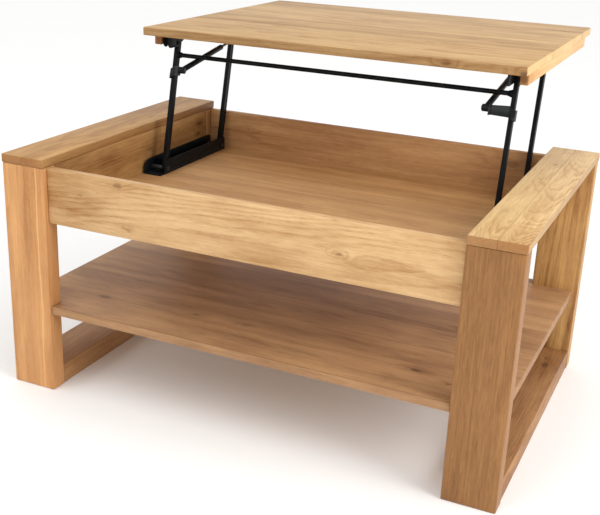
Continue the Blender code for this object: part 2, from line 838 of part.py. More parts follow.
def strut_pins(side_name, side):
    """The pin through the cylinder's eye, and the stud that the rod's end meets."""
    eye_inner = STRUT_X - EYE_WIDTH / 2
    eye_outer = STRUT_X + EYE_WIDTH / 2
    ear_outer = eye_outer + FIT + STRAP_THICKNESS
    head = eye_inner - FIT
    lower = [
        (0, ear_outer + PIN_TIP),
        (STRUT_PIN_RADIUS, ear_outer + PIN_TIP),
        (STRUT_PIN_RADIUS, head),
        (PIN_HEAD_RADIUS, head),
        (PIN_HEAD_RADIUS, head - PIN_HEAD_HEIGHT),
        (0, head - PIN_HEAD_HEIGHT),
    ]
    turned(
        f"strut_lower_pin_{side_name}",
        [(radius, height - STRUT_X) for radius, height in lower],
        zinc_steel,
        front_arm_pivot,
        (side * STRUT_X, LOWER_Y, LOWER_Z),
        across(side),
    )
    seat = eye_outer + FIT
    upper = [
        (0, FLANGE_FACE),
        (STRUT_PIN_RADIUS, FLANGE_FACE),
        (STRUT_PIN_RADIUS, CHANNEL_INNER - FIT),
        (SPACER_RADIUS, CHANNEL_INNER - FIT),
        (SPACER_RADIUS, seat),
        (0, seat),
    ]
    turned(
        f"strut_upper_stud_{side_name}",
        [(radius, height - CHANNEL_INNER) for radius, height in upper],
        zinc_steel,
        top_pivot,
        (side * CHANNEL_INNER, UPPER_Y, UPPER_Z),
        across(side),
    )


def screw(name, x, y, seat, direction, grip, carrier):
    """A pan head wood screw, driven down (-1) or up (1) through a plate of thickness grip."""
    tip = -(grip + SCREW_DEPTH)
    profile = [
        (0, SCREW_HEAD_HEIGHT + FIT),
        (SCREW_HEAD_RADIUS * 0.7, SCREW_HEAD_HEIGHT + FIT),
        (SCREW_HEAD_RADIUS, SCREW_HEAD_HEIGHT * 0.4),
        (SCREW_HEAD_RADIUS, FIT),
        (SCREW_RADIUS, FIT),
        (SCREW_RADIUS, tip + SCREW_RADIUS),
        (0, tip),
    ]
    flip = 0 if direction < 0 else math.pi
    turned(name, profile, zinc_steel, carrier, (x, y, seat), (flip, 0, 0))


def fasteners():
    """Pivot pins, strut pins and wood screws, alike at both ends."""
    for side_name, side in SIDES.items():
        rows = (
            ("front", FRONT_PIVOT_Y, TOP_PIVOT_Y),
            ("rear", REAR_PIVOT_Y, REAR_TOP_PIVOT_Y),
        )
        for row, base_y, top_y in rows:
            pivot_pin(f"{row}_base_pin_{side_name}", side, base_y, BASE_PIVOT_Z, BASE_OUTER, root)
            pivot_pin(
                f"{row}_top_pin_{side_name}", side, top_y, TOP_PIVOT_Z, BRACKET_OUTER, top_pivot
            )
        strut_pins(side_name, side)
        for number, y in enumerate(BASE_SCREW_YS, 1):
            screw(
                f"base_screw_{side_name}_{number}",
                side * BASE_SCREW_X,
                y,
                FLOOR_TOP + FIT + FLANGE_THICKNESS,
                -1,
                FLANGE_THICKNESS,
                root,
            )
        for number, y in enumerate(BRACKET_SCREW_YS, 1):
            screw(
                f"bracket_screw_{side_name}_{number}",
                side * BRACKET_SCREW_X,
                y,
                BRACKET_TOP - BRACKET_PLATE,
                1,
                BRACKET_PLATE,
                top_pivot,
            )


clear_scene()
table = new_collection("lift_top_coffee_table")
cutters = new_collection("cutters")

oak = principled("oak", (0.62, 0.40, 0.20), 0.45)
oak_leg = principled("oak_leg", (0.50, 0.29, 0.13), 0.5)
oak_inside = principled("oak_inside", (0.42, 0.24, 0.12), 0.5)
black_steel = principled("black_steel", (0.012, 0.014, 0.014), 0.45, 0.3)
bright_steel = principled("bright_steel", (0.35, 0.35, 0.36), 0.3, 0.9)
zinc_steel = principled("zinc_steel", (0.06, 0.065, 0.065), 0.4, 0.6)

root = pivot("table_frame", FRAME_Y, 0)
front_arm_pivot = pivot("front_arm_axis", FRONT_PIVOT_Y, BASE_PIVOT_Z, root)
rear_arm_pivot = pivot("rear_arm_axis", REAR_PIVOT_Y, BASE_PIVOT_Z, root)
top_pivot = pivot("top_axis", TOP_PIVOT_Y, TOP_PIVOT_Z, root)
strut_pivots = {name: pivot(f"strut_axis_{name}", LOWER_Y, LOWER_Z, root) for name in SIDES}

end_frames()
box_sides()
box_floor()
lower_shelf()
lifting_top()
crossbar()
for side_name, side in SIDES.items():
    base_channel(side_name, side)
    top_bracket(side_name, side)
    lift_arm(f"front_arm_{side_name}", side, FRONT_PIVOT_Y, front_arm_pivot)
    lift_arm(f"rear_arm_{side_name}", side, REAR_PIVOT_Y, rear_arm_pivot)
    strut_strap(side_name, side)
    gas_strut(side_name, side)
fasteners()
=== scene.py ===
import json
import math

import bpy
from mathutils import Euler, Matrix, Vector

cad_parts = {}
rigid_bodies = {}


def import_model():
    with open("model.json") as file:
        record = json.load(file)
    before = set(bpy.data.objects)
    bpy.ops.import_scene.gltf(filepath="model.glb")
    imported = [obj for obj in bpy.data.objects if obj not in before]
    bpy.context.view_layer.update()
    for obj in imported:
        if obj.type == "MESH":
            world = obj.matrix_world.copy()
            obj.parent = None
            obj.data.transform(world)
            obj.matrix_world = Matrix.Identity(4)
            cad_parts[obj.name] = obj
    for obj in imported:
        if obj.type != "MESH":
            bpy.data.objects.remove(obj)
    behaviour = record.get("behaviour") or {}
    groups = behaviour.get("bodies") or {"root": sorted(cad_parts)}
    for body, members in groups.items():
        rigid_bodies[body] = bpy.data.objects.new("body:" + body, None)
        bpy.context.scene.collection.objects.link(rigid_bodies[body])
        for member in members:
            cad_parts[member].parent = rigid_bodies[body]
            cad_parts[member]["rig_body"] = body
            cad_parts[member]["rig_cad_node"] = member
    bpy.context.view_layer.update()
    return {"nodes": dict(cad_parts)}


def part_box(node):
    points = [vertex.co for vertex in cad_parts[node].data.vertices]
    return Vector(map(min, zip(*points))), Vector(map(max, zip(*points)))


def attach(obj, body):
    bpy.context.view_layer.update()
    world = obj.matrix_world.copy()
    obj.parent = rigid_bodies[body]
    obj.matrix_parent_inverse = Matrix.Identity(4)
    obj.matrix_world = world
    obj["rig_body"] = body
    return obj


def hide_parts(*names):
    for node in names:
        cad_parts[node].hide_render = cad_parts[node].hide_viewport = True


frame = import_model()
nodes = frame["nodes"]
sides = {"left": -1, "right": 1}
frameY = sum(corner.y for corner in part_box("cap_board_left")) / 2
print("frame loaded:", len(nodes), "nodes")


def deselectAll():
    if bpy.context.mode != "OBJECT":
        bpy.ops.object.mode_set(mode="OBJECT")
    bpy.ops.object.select_all(action="DESELECT")


def pick(piece):
    deselectAll()
    piece.select_set(True)
    bpy.context.view_layer.objects.active = piece


def linear(red, green, blue):
    # a swatch in the usual 0 to 255 becomes the shader's linear colour
    parts = [value / 255 for value in (red, green, blue)]
    return (*(v / 12.92 if v <= 0.04045 else ((v + 0.055) / 1.055) ** 2.4 for v in parts), 1)


def node(tree, kind, inputs=(), **settings):
    made = tree.nodes.new(kind)
    for key, value in settings.items():
        setattr(made, key, value)
    for slot, value in dict(inputs).items():
        if hasattr(value, "is_output"):
            tree.links.new(value, made.inputs[slot])
        else:
            made.inputs[slot].default_value = value
    return made


def maths(tree, operation, first, second=0.0, third=0.0):
    inputs = {0: first, 1: second, 2: third}
    return node(tree, "ShaderNodeMath", inputs, operation=operation).outputs[0]


def vectorMaths(tree, operation, first, second=(0, 0, 0), third=(0, 0, 0)):
    inputs = {0: first, 1: second}
    if operation == "MULTIPLY_ADD":
        inputs[2] = third
    made = node(tree, "ShaderNodeVectorMath", inputs, operation=operation)
    return made.outputs[1] if operation == "LENGTH" else made.outputs[0]


def noise(tree, vector, scale, detail=2.0, roughness=0.5):
    inputs = {"Vector": vector, "Scale": scale, "Detail": detail, "Roughness": roughness}
    return node(tree, "ShaderNodeTexNoise", inputs).outputs["Fac"]


def ramp(tree, value, low, high, start=0.0, end=1.0):
    inputs = {"Value": value, "From Min": low, "From Max": high, "To Min": start, "To Max": end}
    made = node(tree, "ShaderNodeMapRange", inputs, interpolation_type="SMOOTHSTEP")
    return made.outputs["Result"]


def blendColours(tree, factor, first, second, blend="MIX"):
    inputs = {0: factor, 6: first, 7: second}
    made = node(tree, "ShaderNodeMix", inputs, data_type="RGBA", blend_type=blend)
    return made.outputs[2]


def newGroup(name, inputs, outputs):
    group = bpy.data.node_groups.new(name, "ShaderNodeTree")
    for label, kind, value in inputs:
        socket = group.interface.new_socket(name=label, in_out="INPUT", socket_type=kind)
        if value is not None:
            socket.default_value = value
    for label, kind in outputs:
        group.interface.new_socket(name=label, in_out="OUTPUT", socket_type=kind)
    source = group.nodes.new("NodeGroupInput")
    target = group.nodes.new("NodeGroupOutput")
    return group, source.outputs, target.inputs


# oak's noises: how many times each repeats per metre along and across the grain,
# then its detail and its roughness
oakNoise = {
    "slow": ((3.0, 11.0, 11.0), 3.0, 0.5),
    "ragged": ((14.0, 60.0, 60.0), 2.0, 0.5),
    "fading": ((4.0, 18.0, 18.0), 2.0, 0.5),
    "cloud": ((5.0, 16.0, 16.0), 4.0, 0.6),
    "broad": ((1.3, 30.0, 30.0), 4.0, 0.6),
    "fibres": ((8.0, 260.0, 260.0), 3.0, 0.7),
    "fleck": ((40.0, 420.0, 420.0), 2.0, 0.6),
    "pores": ((70.0, 1300.0, 1300.0), 1.0, 0.5),
}

# what every board shares: where the heart of the tree lies below it, how far its rings are bent,
# and how strong its pores, knots, marks of painted shade, glue lines and vein are, and the painted
# shade before a butt joint and beyond the vein
oakLook = {
    "heartDepth": 0.03, "heartDepthSpread": 0.09, "heartLean": 0.16, "heartAside": 0.06,
    "raggedBend": 0.0025, "knotAndShadeBend": 0.016, "unevenScale": 60.0, "unevenBend": 0.008,
    "fleckShare": 0.7, "knotAndShadeDepth": 0.45, "leastDepth": -0.25, "mostDepth": 1.5,
    "poreTint": 0.35, "poreColour": (92, 58, 32),
    "knotAndShadeTint": 0.8, "knotAndShadeColour": (52, 30, 18),
    "glueTint": 0.35, "glueColour": (92, 56, 30),
    "paintedShadeBeforeButt": 0.12, "veinSwing": 0.03, "veinTint": 0.6, "paintedShadeBeyondVein": 0.3,
    "veinPaleness": (1.18, 1.22, 1.3, 1), "shine": 0.3, "bump": 0.35, "bumpDepth": 0.0004,
}


def oakGrain(tree, placed, kind):
    stretch, detail, roughness = oakNoise[kind]
    return noise(tree, vectorMaths(tree, "MULTIPLY", placed, stretch), 1.0, detail, roughness)


# oak figure: the vector's first axis runs along the grain, its second across the staves
def buildOakFigure():
    group, inp, target = newGroup(
        "oakFigure",
        [
            ("Vector", "NodeSocketVector", None),
            ("Side", "NodeSocketVector", None),
            ("Pale", "NodeSocketColor", (0.6, 0.42, 0.24, 1)),
            ("Deep", "NodeSocketColor", (0.4, 0.24, 0.11, 1)),
            ("Seed", "NodeSocketFloat", 0.0),
            ("Stave Width", "NodeSocketFloat", 0.1),
            ("Stave Shift", "NodeSocketFloat", 0.5),
            ("Stave Tone", "NodeSocketFloat", 0.2),
            ("Ring Spacing", "NodeSocketFloat", 0.006),
            ("Ring Strength", "NodeSocketFloat", 0.5),
            ("Ring Swirl", "NodeSocketFloat", 0.02),
            ("Streaks", "NodeSocketFloat", 0.5),
            ("Fibres", "NodeSocketFloat", 0.5),
            ("Mottle", "NodeSocketFloat", 0.3),
            ("End Tone", "NodeSocketFloat", 0.3),
            ("End Colour", "NodeSocketColor", (0.2, 0.07, 0.02, 1)),
            ("Butt Joint", "NodeSocketFloat", 9.0),
            ("Vein Place", "NodeSocketFloat", 9.0),
            ("Knot And Shade Near", "NodeSocketFloat", 0.0),
            ("Knot And Shade Core", "NodeSocketFloat", 0.0),
        ],
        [
            ("Color", "NodeSocketColor"),
            ("Roughness", "NodeSocketFloat"),
            ("Height", "NodeSocketFloat"),
        ],
    )
    along, sideTo, up = node(group, "ShaderNodeSeparateXYZ", {0: inp["Vector"]}).outputs
    across = maths(group, "DIVIDE", sideTo, inp["Stave Width"])
    across = maths(group, "ADD", across, inp["Stave Shift"])
    stave = maths(group, "FLOOR", across)

    # each stave draws its own luck, and its grain is read from its own place
    key = node(group, "ShaderNodeCombineXYZ", {0: stave, 1: inp["Seed"], 2: 3.7})
    chance = node(
        group, "ShaderNodeTexWhiteNoise", {"Vector": key.outputs[0]}, noise_dimensions="3D"
    ).outputs
    luck = node(group, "ShaderNodeSeparateColor", {0: chance["Color"]}).outputs
    shift = vectorMaths(group, "MULTIPLY_ADD", chance["Color"], (7, 5, 3), inp["Seed"])
    placed = vectorMaths(group, "ADD", inp["Vector"], shift)

    # growth rings round an axis below the board that leans a little
    heartDepth = maths(
        group, "MULTIPLY_ADD", luck[1], oakLook["heartDepthSpread"], oakLook["heartDepth"]
    )
    lean = maths(group, "MULTIPLY", maths(group, "SUBTRACT", luck[2], 0.5), oakLook["heartLean"])
    dropped = maths(group, "MULTIPLY_ADD", along, lean, heartDepth)
    aside = maths(group, "MULTIPLY", maths(group, "SUBTRACT", luck[0], 0.5), inp["Stave Width"])
    aside = maths(group, "MINIMUM", aside, oakLook["heartAside"])
    middle = maths(group, "MULTIPLY", maths(group, "ADD", stave, 0.5), inp["Stave Width"])
    backwards = maths(group, "MULTIPLY", inp["Stave Width"], -1.0)
    middle = maths(group, "MULTIPLY_ADD", inp["Stave Shift"], backwards, middle)
    fromHeart = node(group, "ShaderNodeCombineXYZ", {
        0: maths(group, "SUBTRACT", maths(group, "SUBTRACT", sideTo, middle), aside),
        1: maths(group, "ADD", up, dropped),
        2: 0.0,
    })
    radius = vectorMaths(group, "LENGTH", fromHeart.outputs[0])

    # the rings are bent by noise and by knots, unevenly spaced, and fade in and out
    slow = oakGrain(group, placed, "slow")
    ragged = oakGrain(group, placed, "ragged")
    radius = maths(group, "MULTIPLY_ADD", slow, inp["Ring Swirl"], radius)
    radius = maths(group, "MULTIPLY_ADD", ragged, oakLook["raggedBend"], radius)
    radius = maths(group, "MULTIPLY_ADD", inp["Knot And Shade Near"], oakLook["knotAndShadeBend"], radius)
    yearly = node(group, "ShaderNodeCombineXYZ", {0: radius, 1: inp["Seed"], 2: stave})
    uneven = noise(group, yearly.outputs[0], oakLook["unevenScale"], 1.0)
    radius = maths(group, "MULTIPLY_ADD", uneven, oakLook["unevenBend"], radius)
    rings = maths(group, "FRACT", maths(group, "DIVIDE", radius, inp["Ring Spacing"]))
    lateWood = ramp(group, rings, 0.30, 0.90)
    lateWood = maths(group, "MULTIPLY", lateWood, ramp(group, rings, 0.91, 1.0, 1, 0))
    fading = oakGrain(group, placed, "fading")
    lateWood = maths(group, "MULTIPLY", lateWood, ramp(group, fading, 0.30, 0.66))

    # clouds, broad streaks, fine fibres and short dark pores, drawn out along the grain
    cloud = oakGrain(group, placed, "cloud")
    broad = oakGrain(group, placed, "broad")
    fibres = oakGrain(group, placed, "fibres")
    fleck = oakGrain(group, placed, "fleck")
    inLateWood = maths(group, "MULTIPLY_ADD", lateWood, 0.7, 0.3)
    pores = ramp(group, oakGrain(group, placed, "pores"), 0.58, 0.68)
    pores = maths(group, "MULTIPLY", pores, inLateWood)

    depth = maths(group, "MULTIPLY", ramp(group, broad, 0.28, 0.72), inp["Streaks"])
    depth = maths(group, "MULTIPLY_ADD", ramp(group, cloud, 0.32, 0.70), inp["Mottle"], depth)
    depth = maths(group, "MULTIPLY_ADD", lateWood, inp["Ring Strength"], depth)
    fibreDepth = maths(group, "SUBTRACT", fibres, 0.5)
    depth = maths(group, "MULTIPLY_ADD", fibreDepth, inp["Fibres"], depth)
    flecks = maths(group, "MULTIPLY", inp["Fibres"], oakLook["fleckShare"])
    depth = maths(group, "MULTIPLY_ADD", maths(group, "SUBTRACT", fleck, 0.5), flecks, depth)
    # near a knot, and near a mark of painted shade, the wood is darkened
    depth = maths(group, "MULTIPLY_ADD", inp["Knot And Shade Near"], oakLook["knotAndShadeDepth"], depth)
    limits = {0: depth, 1: oakLook["leastDepth"], 2: oakLook["mostDepth"]}
    depth = node(group, "ShaderNodeClamp", limits).outputs[0]
    colour = node(
        group, "ShaderNodeMix", {0: depth, 6: inp["Pale"], 7: inp["Deep"]},
        data_type="RGBA", clamp_factor=False,
    ).outputs[2]

    # a darker stave is also redder
    tone = maths(group, "SUBTRACT", chance["Value"], 0.5)
    tone = maths(group, "MULTIPLY_ADD", tone, inp["Stave Tone"], 1.0)
    toneColour = node(group, "ShaderNodeCombineColor", {
        0: tone, 1: maths(group, "POWER", tone, 1.25), 2: maths(group, "POWER", tone, 1.6),
    })
    colour = blendColours(group, 1.0, colour, toneColour.outputs[0], "MULTIPLY")
    poreTint = maths(group, "MULTIPLY", pores, oakLook["poreTint"])
    colour = blendColours(group, poreTint, colour, linear(*oakLook["poreColour"]))
    # knot cores, and the cores of the marks of painted shade, darken the colour
    knotAndShadeTint = maths(group, "MULTIPLY", inp["Knot And Shade Core"], oakLook["knotAndShadeTint"])
    colour = blendColours(group, knotAndShadeTint, colour, linear(*oakLook["knotAndShadeColour"]))

    # a pale vein that wanders along the board, with the wood on one side of it darkened; on the
    # left front leg that darkening covers the inner side face and is painted shade
    vein = maths(group, "SUBTRACT", up, inp["Vein Place"])
    swing = maths(group, "SUBTRACT", slow, 0.5)
    vein = maths(group, "MULTIPLY_ADD", swing, oakLook["veinSwing"], vein)
    hasVein = maths(group, "LESS_THAN", inp["Vein Place"], 1.0)
    # painted shade: the wood on the far side of the vein is darkened
    shadedBeyondVein = maths(group, "MULTIPLY", ramp(group, vein, -0.012, 0.0, 1, 0), hasVein)
    shadedBeyondVein = maths(group, "MULTIPLY", shadedBeyondVein, oakLook["paintedShadeBeyondVein"])
    colour = blendColours(group, shadedBeyondVein, colour, inp["Deep"])
    veinLine = ramp(group, maths(group, "ABSOLUTE", vein), 0.0006, 0.0026, 1, 0)
    veinLine = maths(group, "MULTIPLY", veinLine, oakLook["veinTint"])
    paler = blendColours(group, 1.0, inp["Pale"], oakLook["veinPaleness"], "MULTIPLY")
    colour = blendColours(group, veinLine, colour, paler)

    # end grain takes its own tone, on the faces that look along the grain; the lift top's pale end
    # colour partly paints the light from the right on its ends
    facing = node(group, "ShaderNodeSeparateXYZ", {0: inp["Side"]}).outputs["X"]
    endGrainAndLight = ramp(group, maths(group, "ABSOLUTE", facing), 0.6, 0.95)
    endGrainAndLight = maths(group, "MULTIPLY", endGrainAndLight, inp["End Tone"])
    colour = blendColours(group, endGrainAndLight, colour, inp["End Colour"])

    # the glue lines: between two staves, and where a board is butted on to another; the wood
    # before a butt joint is darkened as painted shade
    gap = maths(group, "SUBTRACT", maths(group, "FRACT", across), 0.5)
    gap = maths(group, "SUBTRACT", 0.5, maths(group, "ABSOLUTE", gap))
    gap = maths(group, "MULTIPLY", gap, inp["Stave Width"])
    seam = ramp(group, gap, 0.0003, 0.0014, 1, 0)
    butt = maths(group, "SUBTRACT", along, inp["Butt Joint"])
    # painted shade: the wood before the butt joint is darkened
    shadedBeforeButt = maths(group, "LESS_THAN", butt, 0.0)
    shadedBeforeButt = maths(group, "MULTIPLY", shadedBeforeButt, oakLook["paintedShadeBeforeButt"])
    colour = blendColours(group, shadedBeforeButt, colour, inp["Deep"])
    buttLine = ramp(group, maths(group, "ABSOLUTE", butt), 0.0004, 0.0020, 1, 0)
    seam = maths(group, "MAXIMUM", seam, buttLine)
    glueTint = maths(group, "MULTIPLY", seam, oakLook["glueTint"])
    colour = blendColours(group, glueTint, colour, linear(*oakLook["glueColour"]))

    rough = maths(group, "MULTIPLY_ADD", fibres, 0.18, 0.40)
    rough = maths(group, "MULTIPLY_ADD", pores, 0.15, rough)
    height = maths(group, "MULTIPLY", lateWood, 0.25)
    height = maths(group, "MULTIPLY_ADD", fibres, 0.5, height)
    for hollow, deep in ((pores, 0.8), (seam, 0.9), (inp["Knot And Shade Core"], 0.8)):
        height = maths(group, "SUBTRACT", height, maths(group, "MULTIPLY", hollow, deep))
    group.links.new(colour, target["Color"])
    group.links.new(rough, target["Roughness"])
    group.links.new(height, target["Height"])
    return group


# one mark, drawn as a knot and also used for painted shade: how ragged it is, its length along the
# grain, and where its two edges fade
knotAndShadeLook = {
    "raggedScale": 70.0, "ragged": (0.016, 0.009, 0.009), "raggedMiddle": (0.008, 0.0045, 0.0045),
    "stretch": (0.45, 1.0, 1.0), "near": (0.3, 3.6), "core": (0.35, 1.0),
}


# a dark ragged core, and round it the grain that swings out of its way; the same mark paints the
# shade over the right cleat's front end
def buildKnotAndShadeMark():
    group, inp, target = newGroup(
        "knotAndShadeMark",
        [
            ("Vector", "NodeSocketVector", None),
            ("Centre", "NodeSocketVector", None),
            ("Size", "NodeSocketFloat", 0.008),
            ("Strength", "NodeSocketFloat", 1.0),
            ("Near So Far", "NodeSocketFloat", 0.0),
            ("Core So Far", "NodeSocketFloat", 0.0),
        ],
        [("Near", "NodeSocketFloat"), ("Core", "NodeSocketFloat")],
    )
    ragged = node(
        group, "ShaderNodeTexNoise",
        {"Vector": inp["Vector"], "Scale": knotAndShadeLook["raggedScale"], "Detail": 3.0},
    ).outputs["Color"]
    bent = vectorMaths(group, "MULTIPLY_ADD", ragged, knotAndShadeLook["ragged"], inp["Vector"])
    centre = vectorMaths(group, "ADD", inp["Centre"], knotAndShadeLook["raggedMiddle"])
    offset = vectorMaths(group, "SUBTRACT", bent, centre)
    far = vectorMaths(group, "LENGTH", vectorMaths(group, "MULTIPLY", offset, knotAndShadeLook["stretch"]))
    far = maths(group, "DIVIDE", far, inp["Size"])
    for label, edges in (("Near", "near"), ("Core", "core")):
        mark = maths(group, "MULTIPLY", ramp(group, far, *knotAndShadeLook[edges], 1, 0), inp["Strength"])
        mark = maths(group, "MAXIMUM", mark, inp[label + " So Far"])
        group.links.new(mark, target[label])
    return group


# powder coat: a fine orange peel, a little dust in the tone, and pale rubbed spots on edges
coatLook = {
    "peelScale": 900.0, "cloudScale": 45.0, "wornEdge": (0.52, 0.60), "wornCloud": (0.40, 0.62),
    "dust": 0.35, "dustShare": 0.8, "roughness": 0.28, "roughSpread": 0.25,
    "shine": 0.1, "bumpDepth": 0.0002,
}


def buildCoatTexture():
    group, inp, target = newGroup(
        "coatTexture",
        [
            ("Vector", "NodeSocketVector", None),
            ("Base", "NodeSocketColor", (0.012, 0.013, 0.013, 1)),
            ("Rubbed", "NodeSocketColor", (0.06, 0.06, 0.06, 1)),
            ("Rub", "NodeSocketFloat", 0.2),
        ],
        [
            ("Color", "NodeSocketColor"),
            ("Roughness", "NodeSocketFloat"),
            ("Height", "NodeSocketFloat"),
        ],
    )
    peel = noise(group, inp["Vector"], coatLook["peelScale"], 2.0)
    cloud = noise(group, inp["Vector"], coatLook["cloudScale"], 4.0, 0.6)
    edge = node(group, "ShaderNodeNewGeometry").outputs["Pointiness"]
    onEdge = ramp(group, edge, *coatLook["wornEdge"])
    worn = maths(group, "MULTIPLY", onEdge, ramp(group, cloud, *coatLook["wornCloud"]))
    worn = maths(group, "MULTIPLY", worn, inp["Rub"])
    dusty = maths(group, "MULTIPLY_ADD", cloud, coatLook["dust"], worn)
    dusty = maths(group, "MULTIPLY", dusty, coatLook["dustShare"])
    colour = blendColours(group, dusty, inp["Base"], inp["Rubbed"])
    rough = maths(group, "MULTIPLY_ADD", cloud, coatLook["roughSpread"], coatLook["roughness"])
    group.links.new(colour, target["Color"])
    group.links.new(rough, target["Roughness"])
    group.links.new(peel, target["Height"])
    return group


oakFigure = buildOakFigure()
knotAndShadeMark = buildKnotAndShadeMark()
coatTexture = buildCoatTexture()
print("shader groups built")


def finishMaterial(material, texture, shine, bump, bumpDepth):
    # the texture group's outputs go to the surface shader
    tree = material.node_tree
    shader = tree.nodes["Principled BSDF"]
    relief = node(tree, "ShaderNodeBump", {
        "Height": texture.outputs["Height"], "Strength": bump, "Distance": bumpDepth,
    })
    tree.links.new(texture.outputs["Color"], shader.inputs["Base Color"])
    tree.links.new(texture.outputs["Roughness"], shader.inputs["Roughness"])
    tree.links.new(relief.outputs[0], shader.inputs["Normal"])
    shader.inputs["Specular IOR Level"].default_value = shine


grainTurn = {"X": (0, 0, 0), "Y": (0, 0, -math.pi / 2), "Z": (0, math.pi / 2, 0)}
oakSockets = {
    "Seed": "seed", "Stave Width": "stave", "Stave Shift": "staveShift", "Stave Tone": "tone",
    "Ring Spacing": "ring", "Ring Strength": "ringStrength", "Ring Swirl": "swirl",
    "Streaks": "streaks", "Fibres": "fibres", "Mottle": "mottle", "End Tone": "endTone",
    "Butt Joint": "butt", "Vein Place": "vein",
}


def oakMaterial(name, values, middle):
    material = bpy.data.materials.new(name)
    material.use_nodes = True
    tree = material.node_tree
    angles = grainTurn[values["grain"]]
    turn = Euler(angles).to_matrix()
    coordinates = node(tree, "ShaderNodeTexCoord").outputs
    place = node(tree, "ShaderNodeMapping", {
        "Vector": coordinates["Object"], "Rotation": angles, "Location": -(turn @ middle),
    })
    side = node(
        tree, "ShaderNodeMapping", {"Vector": coordinates["Normal"], "Rotation": angles},
        vector_type="VECTOR",
    )
    figure = node(tree, "ShaderNodeGroup", node_tree=oakFigure)
    tree.links.new(place.outputs[0], figure.inputs["Vector"])
    tree.links.new(side.outputs[0], figure.inputs["Side"])
    figure.inputs["Pale"].default_value = linear(*values["pale"])
    figure.inputs["Deep"].default_value = linear(*values["deep"])
    figure.inputs["End Colour"].default_value = linear(*values["endColour"])
    for label, key in oakSockets.items():
        figure.inputs[label].default_value = values[key]
    last = None
    # knots, and the marks of painted shade placed as knots
    for across, depth, height, size, strength in values["knotsAndShadeMarks"]:
        knotAndShadeNode = node(tree, "ShaderNodeGroup", node_tree=knotAndShadeMark)
        tree.links.new(place.outputs[0], knotAndShadeNode.inputs["Vector"])
        centre = Vector((across, depth + frameY, height)) - middle
        knotAndShadeNode.inputs["Centre"].default_value = turn @ centre
        knotAndShadeNode.inputs["Size"].default_value = size
        knotAndShadeNode.inputs["Strength"].default_value = strength
        if last:
            tree.links.new(last.outputs["Near"], knotAndShadeNode.inputs["Near So Far"])
            tree.links.new(last.outputs["Core"], knotAndShadeNode.inputs["Core So Far"])
        last = knotAndShadeNode
    if last:
        tree.links.new(last.outputs["Near"], figure.inputs["Knot And Shade Near"])
        tree.links.new(last.outputs["Core"], figure.inputs["Knot And Shade Core"])
    finishMaterial(material, figure, oakLook["shine"], oakLook["bump"], oakLook["bumpDepth"])
    return material


# the steel's finishes: their two swatches, how much the edges are rubbed, and how strong the
# orange peel is
finishes = {
    "blackPowderCoat": {
        "base": (4, 6, 8), "rubbed": (44, 49, 53), "rub": 0.5, "metallic": 0.0, "peel": 0.25,
    },
    "rubbedPowderCoat": {
        "base": (7, 9, 10), "rubbed": (62, 65, 67), "rub": 0.9, "metallic": 0.0, "peel": 0.4,
    },
    "blackenedZinc": {
        "base": (34, 36, 38), "rubbed": (110, 112, 116), "rub": 0.8, "metallic": 0.6, "peel": 0.1,
    },
    "polishedRod": {
        "base": (120, 122, 126), "rubbed": (170, 172, 176), "rub": 0.3, "metallic": 1.0,
        "peel": 0.05,
    },
}


def coatMaterial(name, values):
    material = bpy.data.materials.new(name)
    material.use_nodes = True
    tree = material.node_tree
    place = node(tree, "ShaderNodeTexCoord").outputs["Object"]
    coat = node(tree, "ShaderNodeGroup", node_tree=coatTexture)
    tree.links.new(place, coat.inputs["Vector"])
    coat.inputs["Base"].default_value = linear(*values["base"])
    coat.inputs["Rubbed"].default_value = linear(*values["rubbed"])
    coat.inputs["Rub"].default_value = values["rub"]
    tree.nodes["Principled BSDF"].inputs["Metallic"].default_value = values["metallic"]
    finishMaterial(material, coat, coatLook["shine"], values["peel"], coatLook["bumpDepth"])
    return material
